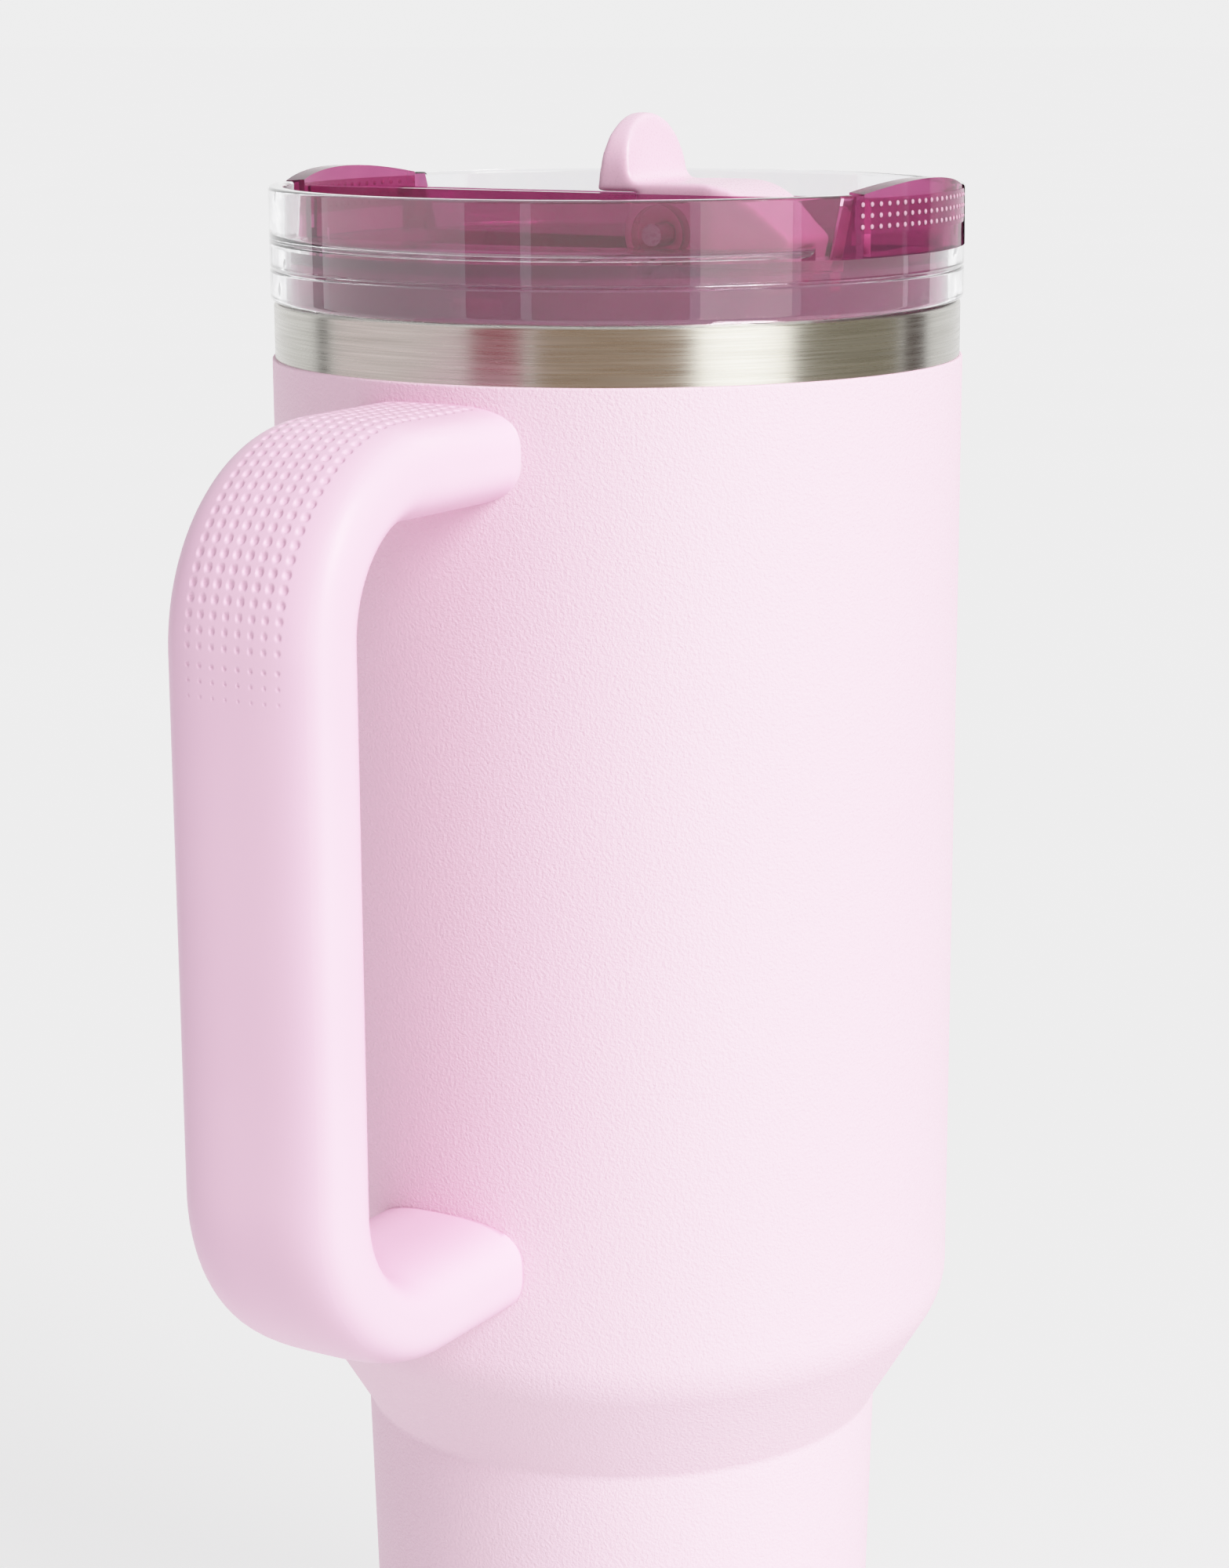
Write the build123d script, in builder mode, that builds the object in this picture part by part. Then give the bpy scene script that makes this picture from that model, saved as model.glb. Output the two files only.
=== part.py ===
from build123d import *
import math
import os

# Insulated tumbler with a handle and a flip-straw lid.
# Millimetres. The origin is the centre of the base, +Z is up, the handle points
# to +X, and the folded mouthpiece points to +Y.

os.makedirs("parts", exist_ok=True)

# ---------------------------------------------------------------- driving sizes
# heights of the vessel
shell_foot_z = 1.0
neck_top_z = 69.7
shoulder_z = 87.1
coat_top_z = 225.0
rim_z = 232.8

# radii of the outer wall
neck_foot_r = 36.5
neck_top_r = 38.3
shoulder_r = 48.75
body_r = 48.9
band_r = 48.5
shell_wall = 0.8
shoulder_bend = 12.0
neck_bend = 2.5

# inner wall
liner_wall = 0.8
bore_r = 44.4
liner_foot_z = 9.0
liner_neck_foot_r = 33.0
liner_neck_top_r = 34.8
liner_neck_z = 72.5
liner_shoulder_z = 90.0
rim_round = 0.35

# base
pad_r = 34.6
pad_round = 0.9
base_plate_z = 3.0
base_flange_r = neck_foot_r - shell_wall
seal_hole_r = 1.5
seal_bead_r = 3.0
seal_bead_h = 1.2
getter_r = 3.0
getter_h = 1.8
getter_x = 14.0

# handle: outer face, section and centre line corners
handle_outer_x = 92.7
handle_width = 25.2
handle_depth = 13.5
handle_round = 6.4
handle_top_z = 222.5
handle_bottom_z = 97.4
handle_corner_r = 20.9
handle_start_x = 42.0
core_width = 17.0
core_depth = 6.8
core_round = 2.6

# brackets and screws in the two arms
tongue_width = 10.0
tongue_thick = 2.6
tongue_tip_x = 64.0
screw_x = 57.5
screw_r = 1.5
screw_head_r = 2.7
screw_head_h = 1.8
screw_top = 2.6
plug_r = 3.1
plug_h = 1.2

# lid heights
lid_foot_z = 232.9
pocket_floor_z = 240.5
wall_top_z = 248.0
far_wall_top_z = 246.9
lid_top_z = 248.8
grip_top_z = 250.4
lid_plug_foot_z = 214.0
trough_floor_z = 230.6

# lid radii and walls
ring_r = 48.95
ring_wall = 2.2
ring_gap = 0.05
lid_body_r = ring_r - ring_wall - ring_gap
lid_plug_r = 43.2
lid_wall = 2.0
grip_inner_r = 46.0
grip_web = 1.6
grip_outer_r = 48.75
grip_half_angle = 18.0
grip_slot_angle = 18.4
trough_half = 11.0
floor_thick = 1.8
groove_z = 237.3
groove_depth = 0.4
groove_height = 0.6
flange_wall = 1.6

# lid thread and gasket
thread_pitch = 4.0
thread_height = 5.0
thread_foot_z = 216.2
thread_crest = 0.7
thread_root_half = 0.9
thread_crest_half = 0.4
thread_sink = 0.3
gasket_foot_z = 226.4
gasket_top_z = 229.4
gasket_r = 44.2
gasket_seat_r = 42.4

# flip spout
pivot_y = 13.0
pivot_z = 242.5
barrel_r = 6.9
spout_half = 8.4
spout_top_z = 249.4
spout_hump_y = 17.0
spout_reach = 17.5
spout_dip = 15.0
spout_thick = 8.4
spout_tip_half = 6.0
spout_bore_r = 2.5
spout_root_angle = -37.0
level = (1, 0)
nose_slope = (0.8, -0.6)
tab_back_y = 1.6
tab_front_y = 6.9
tab_top_z = 258.6
tab_foot_z = 248.0
tab_arch_z = 250.6
tab_flare = 4.8
tab_lean = (0.1, -1)
spout_round = 1.2
pin_r = 1.5
pin_play = 0.05
pin_inner_x = 4.0
boss_r = 4.0
side_play = 0.3

# straw port
port_r = 5.0
port_seat_z = 233.4
port_bore_r = 2.5
port_seal_r = 4.8
seal_play = 0.1
stub_r = 3.6
stub_foot_z = 218.0
sleeve_play = 0.05
sleeve_r = 5.2
sleeve_foot_z = 209.0
sleeve_top_z = 227.0
straw_r = 4.0
straw_bore_r = 3.1
straw_foot_z = 20.5

# air vent
vent_y = -24.0
vent_r = 1.6
vent_cap_r = 4.0
vent_cap_h = 1.2

tiny = 0.01


def save(builder, name):
    """Label one finished piece and write it to its own file."""
    builder.part.label = name
    export_step(builder.part, f"parts/{name}.step")


def vessel_section(foot, neck, shoulder, top, neck_fillet, shoulder_fillet):
    """Half section of a closed vessel: neck, cone shoulder and straight wall."""
    with BuildSketch(Plane.XZ) as section:
        with BuildLine():
            FilletPolyline(foot, neck, shoulder, top, radius=(neck_fillet, shoulder_fillet))
            Polyline(top, (0, top[1]), (0, foot[1]), foot)
        make_face()
    return section.sketch


def grip_sectors(z, inner_r, outer_r, half_angle):
    """Two opposite ring sectors, centred on +Y and -Y."""
    reach = 2 * outer_r
    side = reach * math.tan(math.radians(half_angle))
    with BuildSketch(Plane.XY.offset(z)) as sectors:
        Circle(outer_r)
        Circle(inner_r, mode=Mode.SUBTRACT)
        with BuildSketch(mode=Mode.INTERSECT):
            Polygon((0, 0), (side, reach), (-side, reach), align=None)
            Polygon((0, 0), (-side, -reach), (side, -reach), align=None)
    return sectors.sketch


# ---------------------------------------------------------------- vessel
with BuildPart() as outer_shell:
    outside = vessel_section(
        (neck_foot_r, shell_foot_z), (neck_top_r, neck_top_z),
        (shoulder_r, shoulder_z), (body_r, coat_top_z), neck_bend, shoulder_bend)
    revolve(outside, axis=Axis.Z)
    inside = vessel_section(
        (neck_foot_r - shell_wall, shell_foot_z), (neck_top_r - shell_wall, neck_top_z + shell_wall / 2),
        (shoulder_r - shell_wall, shoulder_z + shell_wall / 2), (body_r - shell_wall, coat_top_z),
        neck_bend + shell_wall, shoulder_bend - shell_wall)
    revolve(inside, axis=Axis.Z, mode=Mode.SUBTRACT)
save(outer_shell, "outer_shell")

with BuildPart() as inner_liner:
    liner_r = bore_r + liner_wall
    outside = vessel_section(
        (liner_neck_foot_r, liner_foot_z), (liner_neck_top_r, liner_neck_z),
        (liner_r, liner_shoulder_z), (liner_r, coat_top_z), neck_bend, shoulder_bend)
    revolve(outside, axis=Axis.Z)
    # the brushed band: the liner rolled over at the rim and down to the coating
    with BuildSketch(Plane.XY.offset(coat_top_z)):
        Circle(band_r)
    extrude(amount=rim_z - coat_top_z)
    fillet(inner_liner.edges().group_by(Axis.Z)[-1], rim_round)
    with BuildSketch(Plane.XY.offset(coat_top_z)):
        Circle(band_r - liner_wall)
        Circle(liner_r, mode=Mode.SUBTRACT)
    extrude(amount=rim_z - coat_top_z - liner_wall, mode=Mode.SUBTRACT)
    inside = vessel_section(
        (liner_neck_foot_r - liner_wall, liner_foot_z), (liner_neck_top_r - liner_wall, liner_neck_z),
        (bore_r, liner_shoulder_z), (bore_r, rim_z), neck_bend + liner_wall,
        shoulder_bend - liner_wall)
    revolve(inside, axis=Axis.Z, mode=Mode.SUBTRACT)
save(inner_liner, "inner_liner")

with BuildPart() as outer_base:
    # a flanged plate welded inside the foot of the outer wall
    with BuildSketch(Plane.XY.offset(shell_foot_z)):
        Circle(base_flange_r)
    extrude(amount=base_plate_z + shell_wall - shell_foot_z)
    with BuildSketch(Plane.XY.offset(shell_foot_z)):
        Circle(base_flange_r - shell_wall)
    extrude(amount=base_plate_z - shell_foot_z, mode=Mode.SUBTRACT)
    with BuildSketch(Plane.XY.offset(base_plate_z)):
        Circle(seal_hole_r)
    extrude(amount=shell_wall, mode=Mode.SUBTRACT)
save(outer_base, "outer_base")

with BuildPart() as vacuum_seal:
    with BuildSketch(Plane.XY.offset(base_plate_z)):
        Circle(seal_hole_r)
    extrude(amount=shell_wall)
    with BuildSketch(Plane.XY.offset(base_plate_z + shell_wall)):
        Circle(seal_bead_r)
    extrude(amount=seal_bead_h)
    fillet(vacuum_seal.edges().group_by(Axis.Z)[-1], seal_bead_h / 2)
save(vacuum_seal, "vacuum_seal")

with BuildPart() as base_pad:
    with BuildSketch():
        Circle(pad_r)
    extrude(amount=base_plate_z)
    fillet(base_pad.edges().group_by(Axis.Z)[0], pad_round)
save(base_pad, "base_pad")

with BuildPart() as liner_base:
    with BuildSketch(Plane.XY.offset(liner_foot_z - liner_wall)):
        Circle(liner_neck_foot_r)
    extrude(amount=liner_wall)
save(liner_base, "liner_base")

with BuildPart() as getter:
    with BuildSketch(Plane.XY.offset(liner_foot_z - liner_wall - getter_h)):
        with Locations((getter_x, 0)):
            Circle(getter_r)
    extrude(amount=getter_h)
    chamfer(getter.edges().group_by(Axis.Z)[0], getter_h / 5)
save(getter, "getter")

# ---------------------------------------------------------------- handle
arm_top_z = handle_top_z - handle_depth / 2
arm_bottom_z = handle_bottom_z + handle_depth / 2
bar_x = handle_outer_x - handle_depth / 2
arm_heights = (arm_top_z, arm_bottom_z)


def handle_bar(width, depth, corner):
    """A rounded bar swept round the handle, cut to the outside of the vessel."""
    with BuildPart() as bar:
        with BuildLine(Plane.XZ) as route:
            FilletPolyline(
                (handle_start_x, arm_top_z), (bar_x, arm_top_z),
                (bar_x, arm_bottom_z), (handle_start_x, arm_bottom_z), radius=handle_corner_r)
        with BuildSketch(Plane.YZ.offset(handle_start_x)):
            with Locations((0, arm_top_z)):
                RectangleRounded(width, depth, corner)
        sweep(path=route.line)
        with BuildSketch(Plane.XY.offset(handle_bottom_z - handle_depth)):
            Circle(body_r)
        extrude(amount=handle_top_z - handle_bottom_z + 2 * handle_depth, mode=Mode.SUBTRACT)
    return bar.part


def tongue(z):
    """A flat steel tongue that stands out of the vessel wall at one height."""
    with BuildPart() as blade:
        with BuildSketch(Plane.YZ.offset(handle_start_x)):
            with Locations((0, z)):
                Rectangle(tongue_width, tongue_thick)
        extrude(amount=tongue_tip_x - handle_start_x)
        fillet(blade.edges().filter_by(Axis.Z).group_by(Axis.X)[-1], tongue_width / 4)
        with BuildSketch(Plane.XY.offset(z - tongue_thick)):
            Circle(body_r)
        extrude(amount=2 * tongue_thick, mode=Mode.SUBTRACT)
    return blade.part


def upright(x, y, radius, low, high):
    """A plain upright cylinder between two heights."""
    with BuildPart() as rod:
        with BuildSketch(Plane.XY.offset(low)):
            with Locations((x, y)):
                Circle(radius)
        extrude(amount=high - low)
    return rod.part


def screw_parts(z):
    """The shank and the head of one screw, driven up from under an arm."""
    head_low = z - handle_depth / 2 + plug_h
    shank = upright(screw_x, 0, screw_r, head_low + screw_head_h, z + screw_top)
    head = upright(screw_x, 0, screw_head_r, head_low, head_low + screw_head_h)
    return shank, head


def plug_hole(z):
    """The round recess under an arm that a plug closes."""
    return upright(screw_x, 0, plug_r, z - handle_depth / 2, z - handle_depth / 2 + plug_h)


core_bar = handle_bar(core_width, core_depth, core_round)
tongues = [tongue(z) for z in arm_heights]
screws = [piece for z in arm_heights for piece in screw_parts(z)]
plugs = [plug_hole(z) for z in arm_heights]

with BuildPart() as handle_grip:
    add(handle_bar(handle_width, handle_depth, handle_round))
    add(core_bar, mode=Mode.SUBTRACT)
    add(screws, mode=Mode.SUBTRACT)
    add(plugs, mode=Mode.SUBTRACT)
save(handle_grip, "handle_grip")

with BuildPart() as handle_core:
    add(core_bar)
    add(tongues, mode=Mode.SUBTRACT)
    add(screws, mode=Mode.SUBTRACT)
save(handle_core, "handle_core")

for blade, name in zip(tongues, ("upper_bracket", "lower_bracket")):
    with BuildPart() as bracket:
        add(blade)
        add(screws, mode=Mode.SUBTRACT)
    save(bracket, name)

with BuildPart() as handle_screws:
    add(screws)
save(handle_screws, "handle_screws")

with BuildPart() as screw_plugs:
    add(plugs)
save(screw_plugs, "screw_plugs")

# ---------------------------------------------------------------- lid
with BuildPart() as lid_ring:
    with BuildSketch(Plane.XY.offset(lid_foot_z)):
        Circle(ring_r)
        Circle(ring_r - ring_wall, mode=Mode.SUBTRACT)
    extrude(amount=lid_top_z - lid_foot_z)
    # a fine groove runs round the ring under the pockets
    with BuildSketch(Plane.XY.offset(groove_z)):
        Circle(ring_r)
        Circle(ring_r - groove_depth, mode=Mode.SUBTRACT)
    extrude(amount=groove_height, mode=Mode.SUBTRACT)
    # the ring is open where the two raised grips stand
    extrude(
        grip_sectors(pocket_floor_z, ring_r - 2 * ring_wall, ring_r + ring_wall, grip_slot_angle),
        amount=lid_top_z, mode=Mode.SUBTRACT)
save(lid_ring, "lid_ring")

trough_wall_x = trough_half + floor_thick
grip_half_x = grip_outer_r * math.sin(math.radians(grip_half_angle))

with BuildPart() as grips:
    # two curved walls whose tops rise in an arch from the rim
    extrude(
        grip_sectors(pocket_floor_z, grip_inner_r, grip_outer_r, grip_half_angle),
        amount=grip_top_z - pocket_floor_z)
    # each stands on a web that joins it to the lid
    extrude(
        grip_sectors(pocket_floor_z, lid_plug_r, grip_outer_r, grip_half_angle),
        amount=grip_web)
    with BuildSketch(Plane.XZ.offset(-grip_outer_r)):
        with BuildLine():
            arch = ThreePointArc((grip_half_x, lid_top_z), (0, grip_top_z), (-grip_half_x, lid_top_z))
            Polyline(
                arch @ 1, (-grip_half_x, pocket_floor_z), (grip_half_x, pocket_floor_z), arch @ 0)
        make_face()
    extrude(amount=2 * grip_outer_r, mode=Mode.INTERSECT)

with BuildPart() as lid_body:
    # the wide top and the plug that goes into the vessel
    with BuildSketch(Plane.XY.offset(lid_foot_z)):
        Circle(lid_body_r)
    extrude(amount=pocket_floor_z - lid_foot_z)
    with BuildSketch(Plane.XY.offset(lid_plug_foot_z)):
        Circle(lid_plug_r)
    extrude(amount=lid_foot_z - lid_plug_foot_z)
    with BuildSketch(Plane.XY.offset(lid_plug_foot_z)):
        Circle(lid_plug_r - lid_wall)
    extrude(amount=pocket_floor_z - floor_thick - lid_plug_foot_z, mode=Mode.SUBTRACT)
    # a channel under the flange keeps its wall thin
    with BuildSketch(Plane.XY.offset(lid_foot_z)):
        Circle(lid_body_r - flange_wall)
        Circle(lid_plug_r, mode=Mode.SUBTRACT)
    extrude(amount=pocket_floor_z - floor_thick - lid_foot_z, mode=Mode.SUBTRACT)
    # the trough across the lid
    with BuildSketch(Plane.XY.offset(trough_floor_z - floor_thick)):
        Circle(lid_plug_r - lid_wall / 2)
        Rectangle(2 * trough_wall_x, 2 * lid_body_r, mode=Mode.INTERSECT)
    extrude(amount=pocket_floor_z - trough_floor_z + floor_thick)
    with BuildSketch(Plane.XY.offset(pocket_floor_z)):
        Circle(lid_body_r)
        Rectangle(2 * trough_wall_x, 2 * lid_body_r, mode=Mode.INTERSECT)
    extrude(amount=wall_top_z - pocket_floor_z)
    with BuildSketch(Plane.XY.offset(far_wall_top_z)):
        with Locations((-trough_wall_x, 0)):
            Rectangle(2 * floor_thick + tiny, 2 * lid_body_r)
    extrude(amount=wall_top_z - far_wall_top_z, mode=Mode.SUBTRACT)
    # the raised grips over both ends of the trough
    add(grips.part)
    with BuildSketch(Plane.XY.offset(trough_floor_z)):
        Circle(lid_plug_r - lid_wall)
        Rectangle(2 * trough_half, 2 * lid_body_r, mode=Mode.INTERSECT)
    extrude(amount=grip_top_z - trough_floor_z, mode=Mode.SUBTRACT)
    with BuildSketch(Plane.XY.offset(pocket_floor_z)):
        Circle(grip_inner_r)
        Rectangle(2 * trough_half, 2 * lid_body_r, mode=Mode.INTERSECT)
    extrude(amount=wall_top_z - pocket_floor_z, mode=Mode.SUBTRACT)
    # the bosses that hold the pivot pins
    with BuildSketch(Plane.YZ.offset(-trough_half)):
        with Locations((pivot_y, pivot_z)):
            Circle(boss_r)
    extrude(amount=trough_half - spout_half - side_play)
    with BuildSketch(Plane.YZ.offset(spout_half + side_play)):
        with Locations((pivot_y, pivot_z)):
            Circle(boss_r)
    extrude(amount=trough_half - spout_half - side_play)
    with BuildSketch(Plane.YZ.offset(-trough_wall_x)):
        with Locations((pivot_y, pivot_z)):
            Circle(pin_r)
    extrude(amount=2 * trough_wall_x, mode=Mode.SUBTRACT)
    # the straw port: a seat inside the trough and a stub under it
    add(upright(0, pivot_y, port_r, trough_floor_z - tiny, port_seat_z))
    add(upright(0, pivot_y, stub_r, stub_foot_z, trough_floor_z - floor_thick + tiny))
    add(upright(0, pivot_y, port_bore_r, stub_foot_z, port_seat_z), mode=Mode.SUBTRACT)
    # the vent hole, and the groove for the gasket
    add(upright(0, vent_y, vent_r, trough_floor_z - lid_wall, trough_floor_z), mode=Mode.SUBTRACT)
    with BuildSketch(Plane.XY.offset(gasket_foot_z)):
        Circle(lid_plug_r + lid_wall)
        Circle(gasket_seat_r, mode=Mode.SUBTRACT)
    extrude(amount=gasket_top_z - gasket_foot_z, mode=Mode.SUBTRACT)
    # the thread on the plug
    with BuildLine() as lead:
        Helix(thread_pitch, thread_height, lid_plug_r, center=(0, 0, thread_foot_z))
    with BuildSketch(Plane(origin=(lid_plug_r, 0, thread_foot_z), x_dir=(1, 0, 0), z_dir=(0, -1, 0))):
        with BuildLine():
            Polyline(
                (-thread_sink, -thread_root_half), (thread_crest, -thread_crest_half),
                (thread_crest, thread_crest_half), (-thread_sink, thread_root_half), close=True)
        make_face()
    sweep(path=lead.line, is_frenet=True)
save(lid_body, "lid_body")

with BuildPart() as lid_gasket:
    # a ring with two rounded lips
    gasket_mid_z = (gasket_foot_z + gasket_top_z) / 2
    gasket_neck_r = (gasket_seat_r + gasket_r) / 2
    with BuildSketch(Plane.XZ):
        with BuildLine():
            Polyline(
                (gasket_seat_r, gasket_foot_z), (gasket_r, gasket_foot_z),
                (gasket_neck_r, gasket_mid_z), (gasket_r, gasket_top_z),
                (gasket_seat_r, gasket_top_z), close=True)
        make_face()
    revolve(axis=Axis.Z)
save(lid_gasket, "lid_gasket")

with BuildPart() as port_seal:
    # a silicone seat, hollowed to the curve of the lever's barrel
    add(upright(0, pivot_y, port_seal_r, port_seat_z, pivot_z - barrel_r / 2))
    add(upright(0, pivot_y, port_bore_r, port_seat_z, pivot_z), mode=Mode.SUBTRACT)
    with BuildSketch(Plane.YZ.offset(-port_r)):
        with Locations((pivot_y, pivot_z)):
            Circle(barrel_r + seal_play)
    extrude(amount=2 * port_r, mode=Mode.SUBTRACT)
    # the seat is trimmed level below the barrel's sides
    with BuildSketch(Plane.XY.offset(pivot_z - barrel_r + spout_round)):
        Circle(2 * port_r + pivot_y)
    extrude(amount=barrel_r, mode=Mode.SUBTRACT)
save(port_seal, "port_seal")

with BuildPart() as vent_valve:
    add(upright(0, vent_y, vent_cap_r, trough_floor_z, trough_floor_z + vent_cap_h))
    fillet(vent_valve.edges().group_by(Axis.Z)[-1], vent_cap_h / 2)
    add(upright(0, vent_y, vent_r, trough_floor_z - floor_thick - vent_cap_h, trough_floor_z + tiny))
save(vent_valve, "vent_valve")

# ---------------------------------------------------------------- flip spout
def beside_pivot(distance, angle, rise=0.0):
    """A point at a distance and angle from the pivot, in the trough's plane, moved across by rise."""
    turn = math.radians(angle)
    return (pivot_y + distance * math.cos(turn) - rise * math.sin(turn),
            pivot_z + distance * math.sin(turn) + rise * math.cos(turn))


tip_middle = beside_pivot(spout_reach, -spout_dip)
tip_top = beside_pivot(spout_reach, -spout_dip, spout_thick / 2)
tip_foot = beside_pivot(spout_reach, -spout_dip, -spout_thick / 2)
root_foot = beside_pivot(barrel_r, spout_root_angle)

with BuildPart() as flip_spout:
    # the side outline, from the tab's foot round to the mouthpiece
    with BuildSketch(Plane.YZ.offset(-spout_half)) as outline:
        with BuildLine():
            tab_back = Line((tab_back_y, tab_foot_z), (tab_back_y + spout_round, tab_top_z))
            tab_top = Line(tab_back @ 1, (tab_front_y - spout_round, tab_top_z))
            tab_front = Line(tab_top @ 1, (tab_front_y, spout_top_z + spout_round))
            flare = Spline(
                tab_front @ 1, (tab_front_y + tab_flare, spout_top_z),
                tangents=(tab_lean, level))
            top = Line(flare @ 1, (spout_hump_y, spout_top_z))
            nose = Spline(top @ 1, tip_top, tangents=(level, nose_slope))
            under = Line(tip_foot, root_foot)
            Polyline(nose @ 1, under @ 0)
            Polyline(under @ 1, (pivot_y, pivot_z), (pivot_y, tab_foot_z), tab_back @ 0)
        make_face()
        with Locations((pivot_y, pivot_z)):
            Circle(barrel_r)
    extrude(amount=2 * spout_half)
    # seen along the trough, the tab is an arch
    with BuildSketch(Plane.XZ.offset(-tip_top[0] - spout_half)):
        with Locations((0, tab_arch_z)):
            Ellipse(spout_half, tab_top_z - tab_arch_z)
        with Locations((0, pivot_z)):
            Rectangle(2 * spout_half, 2 * (tab_arch_z - pivot_z))
    extrude(amount=2 * (tip_top[0] + spout_half), mode=Mode.INTERSECT)
    # the mouthpiece narrows towards its tip
    with BuildSketch(Plane.XY.offset(pivot_z - 2 * barrel_r)):
        with BuildLine():
            shoulder_y = pivot_y + barrel_r
            Polyline(
                (spout_half, -shoulder_y), (spout_half, shoulder_y), (spout_tip_half, tip_top[0]),
                (-spout_tip_half, tip_top[0]), (-spout_half, shoulder_y),
                (-spout_half, -shoulder_y), close=True)
        make_face()
    extrude(amount=2 * tab_top_z - 2 * pivot_z, mode=Mode.INTERSECT)
    # the drinking channel: out along the mouthpiece, and back through the barrel
    for end in (tip_middle, beside_pivot(2 * barrel_r, 180)):
        along = (0, end[0] - pivot_y, end[1] - pivot_z)
        with BuildSketch(Plane(origin=(0, pivot_y, pivot_z), z_dir=along)):
            Circle(spout_bore_r)
        extrude(amount=spout_reach + spout_round, mode=Mode.SUBTRACT)
    # blind holes for the two pins
    for side in (-1, 1):
        with BuildSketch(Plane.YZ.offset(side * spout_half)):
            with Locations((pivot_y, pivot_z)):
                Circle(pin_r + pin_play)
        extrude(amount=-side * (spout_half - pin_inner_x + pin_play), mode=Mode.SUBTRACT)
save(flip_spout, "flip_spout")

with BuildPart() as pivot_pins:
    for side in (-1, 1):
        with BuildSketch(Plane.YZ.offset(side * pin_inner_x)):
            with Locations((pivot_y, pivot_z)):
                Circle(pin_r)
        extrude(amount=side * (trough_wall_x - pin_inner_x))
save(pivot_pins, "pivot_pins")

# ---------------------------------------------------------------- straw
with BuildPart() as straw:
    add(upright(0, pivot_y, straw_r, straw_foot_z, stub_foot_z - sleeve_play))
    add(upright(0, pivot_y, straw_bore_r, straw_foot_z, stub_foot_z), mode=Mode.SUBTRACT)
save(straw, "straw")

with BuildPart() as straw_sleeve:
    add(upright(0, pivot_y, sleeve_r, sleeve_foot_z, sleeve_top_z))
    add(upright(0, pivot_y, stub_r + sleeve_play, stub_foot_z - sleeve_play, sleeve_top_z),
        mode=Mode.SUBTRACT)
    add(upright(0, pivot_y, straw_r, sleeve_foot_z, stub_foot_z - sleeve_play), mode=Mode.SUBTRACT)
save(straw_sleeve, "straw_sleeve")
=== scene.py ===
import math

import bmesh
import bpy
from mathutils import Matrix, Vector


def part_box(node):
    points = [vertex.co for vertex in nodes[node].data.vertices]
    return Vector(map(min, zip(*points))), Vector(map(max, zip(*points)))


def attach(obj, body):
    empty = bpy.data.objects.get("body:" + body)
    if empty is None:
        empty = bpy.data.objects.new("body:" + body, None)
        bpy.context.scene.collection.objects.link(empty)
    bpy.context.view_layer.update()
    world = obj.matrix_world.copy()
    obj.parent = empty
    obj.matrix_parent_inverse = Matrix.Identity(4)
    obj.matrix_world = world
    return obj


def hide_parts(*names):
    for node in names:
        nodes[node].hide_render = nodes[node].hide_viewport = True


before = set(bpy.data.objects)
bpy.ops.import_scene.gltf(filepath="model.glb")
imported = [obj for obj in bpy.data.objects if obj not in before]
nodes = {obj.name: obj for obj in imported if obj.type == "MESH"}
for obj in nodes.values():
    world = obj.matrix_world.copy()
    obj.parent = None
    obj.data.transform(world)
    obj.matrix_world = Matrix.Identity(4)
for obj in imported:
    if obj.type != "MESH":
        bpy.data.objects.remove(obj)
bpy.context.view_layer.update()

# Insulated tumbler, in the frame of the CAD: the handle points to +X and the folded mouthpiece
# to +Y. Shapes are worked out in millimetres and placed in metres.

MM = 0.001
UP = Vector((0, 0, 1))
scene = bpy.context.scene
collection = scene.collection


def cad_corners(name):
    """Lowest and highest corner of a CAD node in millimetres, to a hundredth."""
    return [[round(value / MM, 2) for value in corner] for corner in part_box(name)]


# ------------------------------------------------------------------ mesh helpers
def mesh_object(name, verts, faces, smooth=True):
    mesh = bpy.data.meshes.new(name)
    mesh.from_pydata([tuple(v) for v in verts], [], faces)
    mesh.update()
    if smooth:
        mesh.polygons.foreach_set("use_smooth", [True] * len(mesh.polygons))
    obj = bpy.data.objects.new(name, mesh)
    collection.objects.link(obj)
    return obj


def gather(parts):
    """Joins several (points, faces) into one."""
    verts, faces = [], []
    for points, sides in parts:
        first = len(verts)
        verts += points
        faces += [tuple(first + i for i in side) for side in sides]
    return verts, faces


def rounded(points, steps=5):
    """A closed outline in (r, z); a third number on a point is its corner radius."""
    out = []
    count = len(points)
    for i, point in enumerate(points):
        radius = point[2] if len(point) > 2 else 0.0
        here = Vector(point[:2])
        if radius <= 0:
            out.append(here)
            continue
        before = (Vector(points[i - 1][:2]) - here).normalized()
        after = (Vector(points[(i + 1) % count][:2]) - here).normalized()
        half = before.angle(after) / 2
        centre = here + (before + after).normalized() * (radius / math.sin(half))
        start = here + before * (radius / math.tan(half)) - centre
        sweep = start.angle_signed(here + after * (radius / math.tan(half)) - centre)
        for k in range(steps + 1):
            turn = Matrix.Rotation(-sweep * k / steps, 2)
            out.append(centre + turn @ start)
    return out


def clean(obj, distance=1e-7):
    """Welds coincident points, drops the empty faces that leaves and turns all faces outwards."""
    bm = bmesh.new()
    bm.from_mesh(obj.data)
    bmesh.ops.remove_doubles(bm, verts=bm.verts, dist=distance)
    bmesh.ops.dissolve_degenerate(bm, dist=distance, edges=bm.edges)
    bmesh.ops.recalc_face_normals(bm, faces=bm.faces)
    bm.to_mesh(obj.data)
    bm.free()


def closed_mesh(name, verts, faces, smooth=True):
    obj = mesh_object(name, verts, faces, smooth)
    clean(obj)
    return obj


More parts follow.
